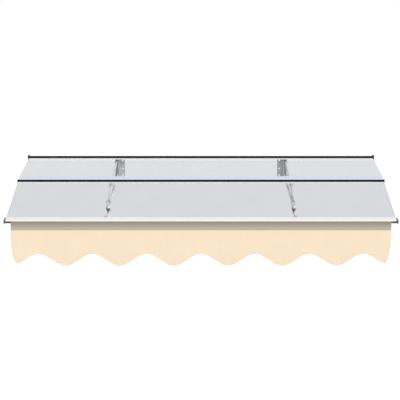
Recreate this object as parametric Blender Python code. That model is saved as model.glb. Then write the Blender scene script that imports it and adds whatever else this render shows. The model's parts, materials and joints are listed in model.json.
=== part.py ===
"""A door canopy: two polycarbonate sheets in aluminium rails, two wall brackets, a scalloped valance.

X runs along the wall, +Y points into the wall and +Z is up, in metres. The origin is the centre of
the wall rail's rear face, so the wall is the plane y = 0 and the canopy reaches towards -Y. Sections
of rails and sheets are outlines in (y, z), run along X. Each bay of the roof is a straight slope.
"""
import math

import bmesh
import bpy
from mathutils import Matrix, Vector

# Sheets
SHEET_WIDTH = 2.000
SHEET_THICKNESS = 0.004
REAR_SLOPE = math.radians(8.8)
FRONT_SLOPE = math.radians(16.8)
SHEET_INSERT = 0.015

# Wall rail
WALL_RAIL_DEPTH = 0.030
WALL_RAIL_HEIGHT = 0.0144
WALL_NOSE_HEIGHT = 0.0116
WALL_LIP = 0.0015
WALL_LIP_SETBACK = 0.010
WALL_CHAMBER = 0.0095
WALL_CAP_THICKNESS = 0.007
WALL_CAP_RISE = 0.006

# Middle rail, which steps from the rear sheet down to the front sheet
MID_JOINT = 0.4905
NOSING_HEIGHT = 0.0135
NOSING_THICKNESS = 0.004
NOSING_RISE = 0.0005
MID_COVER_WIDTH = 0.069
MID_WALL = 0.0025
MID_FLANGE = 0.0018
MID_SHELF_WIDTH = 0.031
MID_TUCK = 0.0205
MID_CAP_THICKNESS = 0.0025

# Front rail and the track that holds the valance
FRONT_EDGE = 0.951
FRONT_COVER_WIDTH = 0.034
FRONT_FLANGE = 0.002
FRONT_LIP_HEIGHT = 0.007
FRONT_LIP_THICKNESS = 0.0025
FRONT_BEAM_WIDTH = 0.046
FRONT_CHAMBER_WALL = 0.002
FRONT_CAP_THICKNESS = 0.009
FRONT_CAP_PROUD = 0.0035
TRACK_DEPTH = 0.016
TRACK_DROP = 0.0102
TRACK_WALL = 0.0015
TRACK_SLOT = 0.0024

# Gasket strips in front of the two dark noses
WALL_GASKET_WIDTH = 0.024
MID_GASKET_WIDTH = 0.015
GASKET_HEIGHT = 0.0022

# Valance, which ends short of the sheets at both sides
VALANCE_MARGIN = 0.0265
VALANCE_DROP = 0.230
VALANCE_THICKNESS = 0.0014
HEADING_HEIGHT = 0.045
HEADING_THICKNESS = 0.0012
SCALLOP_COUNT = 7
SCALLOP_RISE = 0.061
CORNER_WIDTH = 0.034
CORNER_HEIGHT = 0.128
CORNER_EASE = 0.016
KEDER_RADIUS = 0.003

# Wall plates: the flange and its slots lie on the inner side of the bracket's middle
BRACKET_X = 0.4885
PLATE_FLANGE_REACH = 0.0435
PLATE_THICKNESS = 0.004
PLATE_HEIGHT = 0.120
PLATE_SLOT_OFFSET = 0.0311
PLATE_SLOT_RADIUS = 0.005
PLATE_SLOT_TRAVEL = 0.002
PLATE_SLOT_MARGIN = 0.0095
PLATE_SLOT_PITCH = 0.049
PLATE_LOWER_PITCH = 0.039
CHEEK_THICKNESS = 0.003
CHEEK_DEPTH = 0.034

# Arms
ARM_WIDTH = 0.0065
ARM_HEIGHT = 0.018
PIVOT_Y = -0.024
UPPER_PIVOT_Z = -0.0267
LOWER_PIVOT_Z = -0.104
BEND_DROP = 0.0155
KNUCKLE_Y = -0.690
KNUCKLE_DROP = 0.0156
PIN_RADIUS = 0.003
PIN_HEAD_RADIUS = 0.0062
PIN_HEAD_HEIGHT = 0.0025

# Knuckle, locking cone and end rod
KNUCKLE_CHEEK = 0.002
KNUCKLE_HEIGHT = 0.022
BOSS_REACH = 0.060
BOSS_RADIUS = 0.0095
BOSS_HEIGHT = 0.0115
BOSS_CLEARANCE = 0.006
BOSS_STEP = 0.0012
COLLAR_RADIUS = 0.0127
COLLAR_HEIGHT = 0.0045
CONE_RADIUS = 0.0118
CONE_HEIGHT = 0.020
STEM_RADIUS = 0.0036
ROD_RADIUS = 0.0035
EYE_RADIUS = 0.0064
EYE_THICKNESS = 0.0076
ROD_END_SETBACK = 0.020
ROD_END_DROP = 0.0078

# Lugs, saddles and screws
LUG_CHEEK = 0.002
LUG_BASE = 0.003
LUG_BASE_LENGTH = 0.0255
SADDLE_SETBACK = 0.0125
SADDLE_LENGTH = 0.022
SADDLE_PLATE = 0.002
SADDLE_EAR = 0.013
SADDLE_CHEEK = 0.0025
SADDLE_CHEEK_DEPTH = 0.0225
SCREW_RADIUS = 0.0018
SCREW_HEAD_RADIUS = 0.0038
SCREW_HEAD_HEIGHT = 0.0022
CAP_SCREW_LENGTH = 0.016

# Clearance between pieces that touch, and around pins
FIT = 0.0003

# Facets of a round piece: the first radius that is not smaller than its own gives the count
FACETS = ((0.0039, 12), (0.0085, 16), (1.0, 24))

# Material name: colour, roughness, metallic, alpha
FINISHES = {
    "clear_sheet": ((0.74, 0.75, 0.76), 0.12, 0.0, 0.35),
    "black_rail": ((0.013, 0.012, 0.012), 0.40, 0.2, 1.0),
    "silver_rail": ((0.66, 0.70, 0.80), 0.30, 0.9, 1.0),
    "white_rail": ((0.86, 0.84, 0.87), 0.35, 0.0, 1.0),
    "dark_plastic": ((0.10, 0.10, 0.10), 0.50, 0.0, 1.0),
    "grey_rubber": ((0.90, 0.90, 0.90), 0.70, 0.0, 1.0),
    "white_paint": ((0.88, 0.88, 0.88), 0.30, 0.0, 1.0),
    "grey_steel": ((0.36, 0.36, 0.38), 0.45, 0.8, 1.0),
    "cream_fabric": ((0.94, 0.78, 0.58), 0.90, 0.0, 1.0),
    "taupe_fabric": ((0.46, 0.41, 0.33), 0.90, 0.0, 1.0),
}


class Bay:
    """A straight roof slope through the point (y, z) of its sheet's top face."""

    def __init__(self, y, z, slope):
        self.y = y
        self.z = z
        self.slope = slope

    def height(self, y, normal=0.0):
        """Height at y of the line that lies normal above the sheet's top face."""
        return self.z + (y - self.y) * math.tan(self.slope) + normal / math.cos(self.slope)

    def at(self, y, normal=0.0):
        """Outline point at y on the line that lies normal above the sheet's top face."""
        return (y, self.height(y, normal))


# Levels that several pieces share
WALL_RAIL_TOP = WALL_RAIL_HEIGHT / 2
WALL_RAIL_BOTTOM = -WALL_RAIL_HEIGHT / 2
UNDER_SHEET = -SHEET_THICKNESS - FIT
REAR_BAY = Bay(-WALL_RAIL_DEPTH, WALL_RAIL_TOP - WALL_NOSE_HEIGHT - FIT, REAR_SLOPE)
MID_WEB_FRONT = -MID_JOINT + NOSING_THICKNESS + FIT
MID_WEB_REAR = MID_WEB_FRONT + MID_WALL
NOSING_TOP = REAR_BAY.height(MID_WEB_FRONT, FIT + MID_FLANGE) + NOSING_RISE
FRONT_BAY = Bay(-MID_JOINT, NOSING_TOP - NOSING_HEIGHT - FIT / math.cos(FRONT_SLOPE), FRONT_SLOPE)
LIP_TOP = FRONT_BAY.height(-FRONT_EDGE, FIT + FRONT_FLANGE)
LIP_BOTTOM = LIP_TOP - FRONT_LIP_HEIGHT
LIP_REAR = -FRONT_EDGE + FRONT_LIP_THICKNESS
BEAM_REAR = -FRONT_EDGE + FRONT_BEAM_WIDTH
TRACK_FRONT = LIP_REAR + 5 * FIT
TRACK_REAR = TRACK_FRONT + TRACK_DEPTH
TRACK_TOP = LIP_BOTTOM - FIT
TRACK_BOTTOM = LIP_BOTTOM - TRACK_DROP
TRACK_MIDDLE = (TRACK_TOP + TRACK_BOTTOM) / 2
VALANCE_TOP = LIP_BOTTOM - FIT
VALANCE_REAR = TRACK_FRONT - 2 * FIT
RAIL_HALF = SHEET_WIDTH / 2
VALANCE_HALF = RAIL_HALF - VALANCE_MARGIN
SCALLOP_PITCH = 2 * VALANCE_HALF / SCALLOP_COUNT
PLATE_TOP = WALL_RAIL_BOTTOM - 2 * FIT
PLATE_BOTTOM = PLATE_TOP - PLATE_HEIGHT
ARM_OFFSET = ARM_WIDTH / 2 + FIT / 2
UPPER_ARM_X = BRACKET_X + ARM_OFFSET
LOWER_ARM_X = BRACKET_X - ARM_OFFSET
FORK_HALF = ARM_WIDTH + 1.5 * FIT
UPPER_PIVOT = (PIVOT_Y, UPPER_PIVOT_Z)
LOWER_PIVOT = (PIVOT_Y, LOWER_PIVOT_Z)
BEND_Y = -MID_JOINT + SADDLE_SETBACK
MID_UNDERSIDE = FRONT_BAY.height(BEND_Y, UNDER_SHEET - MID_FLANGE)
BEND = (BEND_Y, MID_UNDERSIDE - BEND_DROP)
KNUCKLE = (KNUCKLE_Y, FRONT_BAY.height(KNUCKLE_Y, -SHEET_THICKNESS) - KNUCKLE_DROP)
BOSS_Y = KNUCKLE_Y - BOSS_REACH
BOSS_TOP = FRONT_BAY.height(BOSS_Y, -SHEET_THICKNESS) - BOSS_CLEARANCE
BOSS_BOTTOM = BOSS_TOP - BOSS_HEIGHT
COLLAR_BOTTOM = BOSS_BOTTOM - COLLAR_HEIGHT
CONE_TOP = COLLAR_BOTTOM - FIT
CONE_BOTTOM = CONE_TOP - CONE_HEIGHT
REAR_EYE_Z = CONE_BOTTOM - FIT - EYE_THICKNESS / 2
ROD_END_Y = BEAM_REAR + ROD_END_SETBACK
ROD_END = (ROD_END_Y, FRONT_BAY.height(ROD_END_Y, -SHEET_THICKNESS) - ROD_END_DROP)


def clear_scene():
    """Remove every object that the file holds."""
    for item in list(bpy.data.objects):
        bpy.data.objects.remove(item, do_unlink=True)


def make_finish(name):
    """Build one Principled material from the table of finishes."""
    colour, roughness, metallic, alpha = FINISHES[name]
    finish = bpy.data.materials.new(name)
    finish.use_nodes = True
    shader = finish.node_tree.nodes["Principled BSDF"]
    shader.inputs["Base Color"].default_value = (*colour, 1.0)
    shader.inputs["Roughness"].default_value = roughness
    shader.inputs["Metallic"].default_value = metallic
    shader.inputs["Alpha"].default_value = alpha
    finish.diffuse_color = (*colour, alpha)
    return finish


def add_object(name, mesh_builder, finish):
    """Turn a bmesh into a closed object with outward faces, and give it its finish."""
    bmesh.ops.recalc_face_normals(mesh_builder, faces=mesh_builder.faces)
    mesh = bpy.data.meshes.new(name)
    mesh_builder.to_mesh(mesh)
    mesh_builder.free()
    item = bpy.data.objects.new(name, mesh)
    bpy.context.scene.collection.objects.link(item)
    if finish:
        mesh.materials.append(bpy.data.materials.get(finish) or make_finish(finish))
    return item


def extrude_outline(corners, direction):
    """Close a flat outline of 3-D corners and extrude it along direction."""
    builder = bmesh.new()
    face = builder.faces.new([builder.verts.new(corner) for corner in corners])
    extruded = bmesh.ops.extrude_face_region(builder, geom=[face])
    moved = [part for part in extruded["geom"] if isinstance(part, bmesh.types.BMVert)]
    bmesh.ops.translate(builder, vec=direction, verts=moved)
    return builder


def profile(name, outline, x_from, x_to, finish=None):
    """Run an outline in (y, z) along X."""
    corners = [(x_from, y, z) for y, z in outline]
    return add_object(name, extrude_outline(corners, Vector((x_to - x_from, 0, 0))), finish)


def box(name, low, high, finish=None):
    """A plain block between two corners."""
    corners = [(low[0], low[1], low[2]), (high[0], low[1], low[2])]
    corners += [(high[0], high[1], low[2]), (low[0], high[1], low[2])]
    return add_object(name, extrude_outline(corners, Vector((0, 0, high[2] - low[2]))), finish)


def turned(name, steps, centre, axis, finish=None):
    """Turn a profile of (radius, distance) steps about the axis through centre."""
    builder = bmesh.new()
    rings = []
    widest = max(radius for radius, distance in steps)
    facets = next(count for limit, count in FACETS if widest <= limit)
    for radius, distance in steps:
        ring = []
        for index in range(facets):
            angle = 2 * math.pi * index / facets
            ring.append(builder.verts.new((radius * math.cos(angle), radius * math.sin(angle), distance)))
        rings.append(ring)
    for lower, upper in zip(rings, rings[1:]):
        for index in range(facets):
            following = (index + 1) % facets
            builder.faces.new((lower[index], lower[following], upper[following], upper[index]))
    builder.faces.new(rings[0])
    builder.faces.new(rings[-1])
    turn = Vector((0, 0, 1)).rotation_difference(Vector(axis)).to_matrix().to_4x4()
    bmesh.ops.transform(builder, matrix=Matrix.Translation(centre) @ turn, verts=builder.verts)
    item = add_object(name, builder, finish)
    shade_round(item)
    return item


def shade_round(item):
    """Smooth the round faces and keep the edges sharp."""
    item.data.shade_smooth()
    item.data.set_sharp_from_angle(angle=math.radians(35))


def combine(target, other, operation):
    """Apply a Boolean of other to target and delete other."""
    step = target.modifiers.new("Combine", "BOOLEAN")
    step.operation = operation
    step.solver = "EXACT"
    step.object = other
    solved = target.evaluated_get(bpy.context.evaluated_depsgraph_get())
    mesh = bpy.data.meshes.new_from_object(solved)
    target.modifiers.clear()
    target.data = mesh
    bpy.data.objects.remove(other, do_unlink=True)


def bore(target, radius, centre, axis, length):
    """Cut a round hole of the given length, centred on centre."""
    cutter = turned("bore", [(radius, -length / 2), (radius, length / 2)], centre, axis)
    combine(target, cutter, "DIFFERENCE")


def pin(name, x_centre, grip, point, finish="grey_steel"):
    """A headed pin along X that clamps a grip of the given width."""
    inner = grip / 2 + FIT
    outer = inner + PIN_HEAD_HEIGHT
    steps = [(PIN_HEAD_RADIUS, -outer), (PIN_HEAD_RADIUS, -inner), (PIN_RADIUS, -inner)]
    steps += [(PIN_RADIUS, inner), (PIN_HEAD_RADIUS, inner), (PIN_HEAD_RADIUS, outer)]
    return turned(name, steps, (x_centre, *point), (1, 0, 0), finish)


def screw(name, seat, axis, length):
    """A pan-head screw whose shank runs from its seat along axis."""
    steps = [(SCREW_HEAD_RADIUS * 0.8, -SCREW_HEAD_HEIGHT), (SCREW_HEAD_RADIUS, -SCREW_HEAD_HEIGHT * 0.6)]
    steps += [(SCREW_HEAD_RADIUS, 0.0), (SCREW_RADIUS, 0.0), (SCREW_RADIUS, length)]
    return turned(name, steps, seat, axis, "grey_steel")


def bar_outline(points, height):
    """Outline of a bar of the given height along points in (y, z), with round ends."""
    half = height / 2
    lines = [Vector(b) - Vector(a) for a, b in zip(points, points[1:])]
    normals = [Vector((line.y, -line.x)).normalized() for line in lines]
    sides = []
    for index, point in enumerate(points[1:-1], start=1):
        mitre = (normals[index - 1] + normals[index]).normalized()
        sides.append((Vector(point), mitre * half / mitre.dot(normals[index])))
    outline = arc(points[-1], half, normals[-1], -1)
    outline += [tuple(point - offset) for point, offset in reversed(sides)]
    outline += arc(points[0], half, -normals[0], -1)
    outline += [tuple(point + offset) for point, offset in sides]
    return outline


def arc(centre, radius, start, turn, steps=8):
    """Half a circle from the start direction, turning clockwise when turn is -1."""
    first = math.atan2(start.y, start.x)
    angles = [first + turn * math.pi * index / steps for index in range(steps + 1)]
    return [(centre[0] + radius * math.cos(a), centre[1] + radius * math.sin(a)) for a in angles]


def make_sheets():
    """The two clear sheets, each held in a slot at both ends."""
    rear_start = -WALL_RAIL_DEPTH + SHEET_INSERT
    rear_end = MID_WEB_REAR + FIT
    front_start = -MID_JOINT + MID_TUCK
    front_end = LIP_REAR + FIT
    for name, bay, start, end in (
        ("rear_sheet", REAR_BAY, rear_start, rear_end),
        ("front_sheet", FRONT_BAY, front_start, front_end),
    ):
        outline = [bay.at(start), bay.at(end)]
        outline += [bay.at(end, -SHEET_THICKNESS), bay.at(start, -SHEET_THICKNESS)]
        profile(name, outline, -RAIL_HALF, RAIL_HALF, "clear_sheet")


def make_wall_rail():
    """The slim rail on the wall: a hood over the rear sheet, a slot and a lip below it."""
    slot_end = -WALL_RAIL_DEPTH + SHEET_INSERT + FIT
    lip_front = -WALL_RAIL_DEPTH + WALL_LIP_SETBACK
    lip_rear = -2 * PLATE_THICKNESS
    lip_under = UNDER_SHEET - WALL_LIP
    outline = [(0.0, WALL_RAIL_TOP), (-WALL_RAIL_DEPTH, WALL_RAIL_TOP)]
    outline += [REAR_BAY.at(-WALL_RAIL_DEPTH, FIT), REAR_BAY.at(slot_end, FIT)]
    outline += [REAR_BAY.at(slot_end, UNDER_SHEET), REAR_BAY.at(lip_front, UNDER_SHEET)]
    outline += [REAR_BAY.at(lip_front, lip_under), REAR_BAY.at(lip_rear, lip_under)]
    outline += [(0.0, WALL_RAIL_BOTTOM)]
    rail = profile("wall_rail", outline, -RAIL_HALF, RAIL_HALF, "black_rail")
    chamber_y = slot_end / 2
    low = (-SHEET_WIDTH, chamber_y - WALL_CHAMBER / 2, -WALL_CHAMBER / 2)
    high = (SHEET_WIDTH, chamber_y + WALL_CHAMBER / 2, WALL_CHAMBER / 2)
    combine(rail, box("chamber", low, high), "DIFFERENCE")
    for side, word in ((-1, "left"), (1, "right")):
        make_wall_cap(side, word, (chamber_y, 0.0))


def make_wall_cap(side, word, screw_point):
    """End cap of the wall rail, which stands proud above the hood, and its screw."""
    top = WALL_RAIL_TOP + WALL_CAP_RISE
    front = -WALL_RAIL_DEPTH - 2 * FIT
    under = REAR_BAY.height(front, UNDER_SHEET - WALL_LIP)
    outline = [(0.0, top), (front, top), (front, under), (0.0, WALL_RAIL_BOTTOM)]
    inner = side * (RAIL_HALF + FIT)
    outer = side * (RAIL_HALF + FIT + WALL_CAP_THICKNESS)
    cap = profile("wall_rail_cap_" + word, outline, inner, outer, "black_rail")
    bore(cap, SCREW_RADIUS + FIT, (outer, *screw_point), (1, 0, 0), 4 * WALL_CAP_THICKNESS)
    screw("wall_cap_screw_" + word, (outer + side * FIT, *screw_point), (-side, 0, 0), CAP_SCREW_LENGTH)


def make_gasket(name, bay, nose, width):
    """A light strip that lies on the sheet in front of a dark nose."""
    rear = nose - FIT
    front = rear - width
    outline = [bay.at(rear, GASKET_HEIGHT), bay.at(rear, FIT)]
    outline += [bay.at(front, FIT), bay.at(front, GASKET_HEIGHT / 2)]
    profile(name, outline, -RAIL_HALF, RAIL_HALF, "grey_rubber")


def make_mid_rail():
    """The stepped glazing bar between the sheets, its dark nosing and its end caps."""
    cover_rear = MID_WEB_FRONT + MID_COVER_WIDTH
    shelf_rear = MID_WEB_FRONT + MID_SHELF_WIDTH
    slot_front = -MID_JOINT + MID_TUCK + FIT
    slot_rear = slot_front + MID_WALL
    under = UNDER_SHEET - MID_FLANGE
    outline = [REAR_BAY.at(cover_rear, FIT + MID_FLANGE), REAR_BAY.at(MID_WEB_FRONT, FIT + MID_FLANGE)]
    outline += [FRONT_BAY.at(MID_WEB_FRONT, FIT), FRONT_BAY.at(MID_WEB_REAR, FIT)]
    outline += [REAR_BAY.at(MID_WEB_REAR, under), REAR_BAY.at(slot_front, under)]
    outline += [FRONT_BAY.at(slot_front, UNDER_SHEET), FRONT_BAY.at(-MID_JOINT, UNDER_SHEET)]
    outline += [FRONT_BAY.at(-MID_JOINT, under), FRONT_BAY.at(slot_rear, under)]
    outline += [REAR_BAY.at(slot_rear, under), REAR_BAY.at(shelf_rear, under)]
    outline += [REAR_BAY.at(shelf_rear, UNDER_SHEET), REAR_BAY.at(MID_WEB_REAR, UNDER_SHEET)]
    outline += [REAR_BAY.at(MID_WEB_REAR, FIT), REAR_BAY.at(cover_rear, FIT)]
    rail = profile("mid_rail", outline, -RAIL_HALF, RAIL_HALF, "silver_rail")
    nosing_rear = -MID_JOINT + NOSING_THICKNESS
    outline = [(nosing_rear, NOSING_TOP), (-MID_JOINT, NOSING_TOP)]
    outline += [FRONT_BAY.at(-MID_JOINT, FIT), FRONT_BAY.at(nosing_rear, FIT)]
    profile("mid_rail_nosing", outline, -RAIL_HALF, RAIL_HALF, "black_rail")
    outline = [(slot_rear, NOSING_TOP), (-MID_JOINT, NOSING_TOP)]
    outline += [FRONT_BAY.at(-MID_JOINT, under), FRONT_BAY.at(slot_rear, under)]
    for side, word in ((-1, "left"), (1, "right")):
        inner = side * (RAIL_HALF + FIT)
        outer = inner + side * MID_CAP_THICKNESS
        profile("mid_rail_cap_" + word, outline, inner, outer, "black_rail")
    return rail


def make_front_rail():
    """The front beam: a cover on the sheet, a front lip and a chamber above the track's seat."""
    cover_rear = -FRONT_EDGE + FRONT_COVER_WIDTH
    outline = [FRONT_BAY.at(cover_rear, FIT + FRONT_FLANGE), (-FRONT_EDGE, LIP_TOP)]
    outline += [(-FRONT_EDGE, LIP_BOTTOM), (BEAM_REAR, LIP_BOTTOM), FRONT_BAY.at(BEAM_REAR, UNDER_SHEET)]
    outline += [FRONT_BAY.at(LIP_REAR, UNDER_SHEET), FRONT_BAY.at(LIP_REAR, FIT)]
    outline += [FRONT_BAY.at(cover_rear, FIT)]
    rail = profile("front_rail", outline, -RAIL_HALF, RAIL_HALF, "white_rail")
    ceiling = UNDER_SHEET - FRONT_CHAMBER_WALL
    chamber_rear = BEAM_REAR - FRONT_CHAMBER_WALL
    chamber_front = -FRONT_EDGE + FRONT_BEAM_WIDTH / 2
    floor = LIP_BOTTOM + FRONT_CHAMBER_WALL
    outline = [FRONT_BAY.at(chamber_rear, ceiling), FRONT_BAY.at(chamber_front, ceiling)]
    outline += [(chamber_front, floor), (chamber_rear, floor)]
    combine(rail, profile("chamber", outline, -SHEET_WIDTH, SHEET_WIDTH), "DIFFERENCE")
    screw_y = chamber_rear - FRONT_BEAM_WIDTH / 8
    screw_point = (screw_y, (FRONT_BAY.height(screw_y, ceiling) + floor) / 2)
    for side, word in ((-1, "left"), (1, "right")):
        make_front_cap(side, word, screw_point)
    return rail


def make_front_cap(side, word, screw_point):
    """End cap over the front rail's lip, beam and track, and its screw."""
    front = -FRONT_EDGE - FRONT_CAP_PROUD
    crown = LIP_TOP + 2 * FIT
    crown_rear = -FRONT_EDGE + FRONT_BEAM_WIDTH / 2
    beam_under = LIP_BOTTOM - LUG_BASE
    under = TRACK_BOTTOM - 2 * FIT
    outline = [(crown_rear, crown), (front, crown), (front, under), (TRACK_REAR, under)]
    outline += [(TRACK_REAR, beam_under), (BEAM_REAR, beam_under)]
    outline += [FRONT_BAY.at(BEAM_REAR, UNDER_SHEET), FRONT_BAY.at(crown_rear, UNDER_SHEET)]
    inner = side * (RAIL_HALF + FIT)
    outer = side * (RAIL_HALF + FIT + FRONT_CAP_THICKNESS)
    cap = profile("front_rail_cap_" + word, outline, inner, outer, "dark_plastic")
    bore(cap, SCREW_RADIUS + FIT, (outer, *screw_point), (1, 0, 0), 4 * FRONT_CAP_THICKNESS)
    screw("front_cap_screw_" + word, (outer + side * FIT, *screw_point), (-side, 0, 0), CAP_SCREW_LENGTH)


def make_track():
    """The dark channel under the front rail, open to the front for the valance's bead."""
    inner_front = TRACK_FRONT + TRACK_WALL
    inner_rear = TRACK_REAR - TRACK_WALL
    inner_top = TRACK_TOP - TRACK_WALL
    inner_bottom = TRACK_BOTTOM + TRACK_WALL
    slot_top = TRACK_MIDDLE + TRACK_SLOT / 2
    slot_bottom = TRACK_MIDDLE - TRACK_SLOT / 2
    outline = [(TRACK_REAR, TRACK_TOP), (TRACK_FRONT, TRACK_TOP), (TRACK_FRONT, slot_top)]
    outline += [(inner_front, slot_top), (inner_front, inner_top), (inner_rear, inner_top)]
    outline += [(inner_rear, inner_bottom), (inner_front, inner_bottom)]
    outline += [(inner_front, slot_bottom), (TRACK_FRONT, slot_bottom)]
    outline += [(TRACK_FRONT, TRACK_BOTTOM), (TRACK_REAR, TRACK_BOTTOM)]
    profile("valance_track", outline, -RAIL_HALF, RAIL_HALF, "dark_plastic")


def scallop_edge(x):
    """Height of the valance's lower edge at x, which levels out towards the outer corners."""
    ease_start = VALANCE_HALF - CORNER_WIDTH - CORNER_EASE
    eased = min(max(abs(x) - ease_start, 0.0), CORNER_EASE)
    x = min(abs(x), ease_start) + eased - eased * eased / (2 * CORNER_EASE)
    lowest = VALANCE_TOP - VALANCE_DROP
    wave = (1 + math.cos(2 * math.pi * x / SCALLOP_PITCH)) / 2
    return lowest + SCALLOP_RISE * wave


def make_valance():
    """The hanging fabric with its waved edge, the heading band and the bead in the track."""
    half = VALANCE_HALF
    corner_x = half - CORNER_WIDTH
    corner_z = scallop_edge(corner_x) + CORNER_HEIGHT
    edge = [(-half, VALANCE_TOP)]
    for index in range(9):
        angle = math.pi / 2 * index / 8
        edge.append((-corner_x - CORNER_WIDTH * math.cos(angle), corner_z - CORNER_HEIGHT * math.sin(angle)))
    waves = 14 * SCALLOP_COUNT
    for index in range(1, waves):
        x = -corner_x + 2 * corner_x * index / waves
        edge.append((x, scallop_edge(x)))
    for index in range(9):
        angle = math.pi / 2 * (8 - index) / 8
        edge.append((corner_x + CORNER_WIDTH * math.cos(angle), corner_z - CORNER_HEIGHT * math.sin(angle)))
    edge.append((half, VALANCE_TOP))
    corners = [(x, VALANCE_REAR, z) for x, z in edge]
    builder = extrude_outline(corners, Vector((0, -VALANCE_THICKNESS, 0)))
    add_object("valance", builder, "cream_fabric")
    band_rear = VALANCE_REAR - VALANCE_THICKNESS - FIT
    low = (-half, band_rear - HEADING_THICKNESS, VALANCE_TOP - HEADING_HEIGHT)
    box("valance_heading", low, (half, band_rear, VALANCE_TOP), "taupe_fabric")
    centre = (TRACK_FRONT + TRACK_DEPTH / 2, TRACK_MIDDLE)
    tail = TRACK_SLOT / 4
    outline = []
    for index in range(13):
        angle = math.radians(-165 + 330 * index / 12)
        outline.append((centre[0] + KEDER_RADIUS * math.cos(angle), centre[1] + KEDER_RADIUS * math.sin(angle)))
    outline += [(VALANCE_REAR + FIT, centre[1] + tail), (VALANCE_REAR + FIT, centre[1] - tail)]
    profile("valance_bead", outline, -half, half, "cream_fabric")


def make_wall_plate(side, word):
    """Folded steel plate: a flat flange with three upright slots, and two cheeks for the arms."""
    fork_inner = BRACKET_X - FORK_HALF
    fork_outer = BRACKET_X + FORK_HALF
    outer = fork_outer + CHEEK_THICKNESS
    inner = BRACKET_X - PLATE_FLANGE_REACH
    front = -PLATE_THICKNESS - CHEEK_DEPTH
    section = [(inner, 0.0), (outer, 0.0), (outer, front), (fork_outer, front)]
    section += [(fork_outer, -PLATE_THICKNESS), (fork_inner, -PLATE_THICKNESS), (fork_inner, front)]
    section += [(fork_inner - CHEEK_THICKNESS, front), (fork_inner - CHEEK_THICKNESS, -PLATE_THICKNESS)]
    section += [(inner, -PLATE_THICKNESS)]
    corners = [(side * x, y, PLATE_BOTTOM) for x, y in section]
    builder = extrude_outline(corners, Vector((0, 0, PLATE_HEIGHT)))
    plate = add_object("wall_plate_" + word, builder, "grey_steel")
    lip_under = UNDER_SHEET - WALL_LIP - FIT
    reach = 2 * CHEEK_DEPTH
    outline = [REAR_BAY.at(-PLATE_THICKNESS, lip_under), REAR_BAY.at(-reach, lip_under)]
    outline += [(-reach, reach), (-PLATE_THICKNESS, reach)]
    combine(plate, profile("rail_seat", outline, -SHEET_WIDTH, SHEET_WIDTH), "DIFFERENCE")
    x = side * (BRACKET_X - PLATE_SLOT_OFFSET)
    z = PLATE_TOP - PLATE_SLOT_MARGIN
    for step in (0.0, PLATE_SLOT_PITCH, PLATE_LOWER_PITCH):
        z -= step
        outline = arc((x, z + PLATE_SLOT_TRAVEL / 2), PLATE_SLOT_RADIUS, Vector((1, 0)), 1)
        outline += arc((x, z - PLATE_SLOT_TRAVEL / 2), PLATE_SLOT_RADIUS, Vector((-1, 0)), 1)
        corners = [(x, PLATE_THICKNESS, z) for x, z in outline]
        cutter = extrude_outline(corners, Vector((0, -3 * PLATE_THICKNESS, 0)))
        combine(plate, add_object("fixing_slot", cutter, None), "DIFFERENCE")
    for point in (UPPER_PIVOT, LOWER_PIVOT):
        bore(plate, PIN_RADIUS + FIT, (side * BRACKET_X, *point), (1, 0, 0), 6 * ARM_WIDTH)


def make_arm(name, side, x_centre, points):
    """A flat arm along points, bored at its two ends."""
    low = side * (x_centre - ARM_WIDTH / 2)
    high = side * (x_centre + ARM_WIDTH / 2)
    arm = profile(name, bar_outline(points, ARM_HEIGHT), low, high, "white_paint")
    shade_round(arm)
    bores = points if len(points) == 3 else (points[0], points[-1])
    for point in bores:
        bore(arm, PIN_RADIUS + FIT, (side * x_centre, *point), (1, 0, 0), 2 * ARM_WIDTH)


def make_arms(side, word):
    """Upper and lower arm side by side, with the pins in the wall plate."""
    make_arm("upper_arm_" + word, side, UPPER_ARM_X, (UPPER_PIVOT, BEND, KNUCKLE))
    make_arm("lower_arm_" + word, side, LOWER_ARM_X, (LOWER_PIVOT, KNUCKLE))
    grip = 2 * (FORK_HALF + CHEEK_THICKNESS)
    pin("upper_pivot_pin_" + word, side * BRACKET_X, grip, UPPER_PIVOT)
    pin("lower_pivot_pin_" + word, side * BRACKET_X, grip, LOWER_PIVOT)


def make_knuckle(side, word):
    """The fork that joins both arms, with a round boss and collar at its end, and its pin."""
    half = FORK_HALF + KNUCKLE_CHEEK
    centre_x = side * BRACKET_X
    neck_end = BOSS_Y + BOSS_RADIUS / 6
    outline = arc(KNUCKLE, KNUCKLE_HEIGHT / 2, Vector((0, 1)), -1)
    outline += [(neck_end, BOSS_BOTTOM + BOSS_STEP), (neck_end, BOSS_TOP - BOSS_STEP)]
    body = profile("knuckle_" + word, outline, centre_x - half, centre_x + half, "white_paint")
    steps = [(BOSS_RADIUS, BOSS_TOP), (BOSS_RADIUS, BOSS_BOTTOM), (COLLAR_RADIUS, BOSS_BOTTOM)]
    steps += [(COLLAR_RADIUS, COLLAR_BOTTOM)]
    boss = turned("boss", steps, (centre_x, BOSS_Y, 0.0), (0, 0, 1))
    combine(body, boss, "UNION")
    slot_front = (KNUCKLE_Y + BOSS_Y) / 2
    low = (centre_x - FORK_HALF, slot_front, KNUCKLE[1] - KNUCKLE_HEIGHT)
    high = (centre_x + FORK_HALF, KNUCKLE[0] + KNUCKLE_HEIGHT, KNUCKLE[1] + KNUCKLE_HEIGHT)
    combine(body, box("slot", low, high), "DIFFERENCE")
    bore(body, PIN_RADIUS + FIT, (centre_x, *KNUCKLE), (1, 0, 0), 4 * half)
    shade_round(body)
    pin("knuckle_pin_" + word, centre_x, 2 * half, KNUCKLE, "white_paint")


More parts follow.
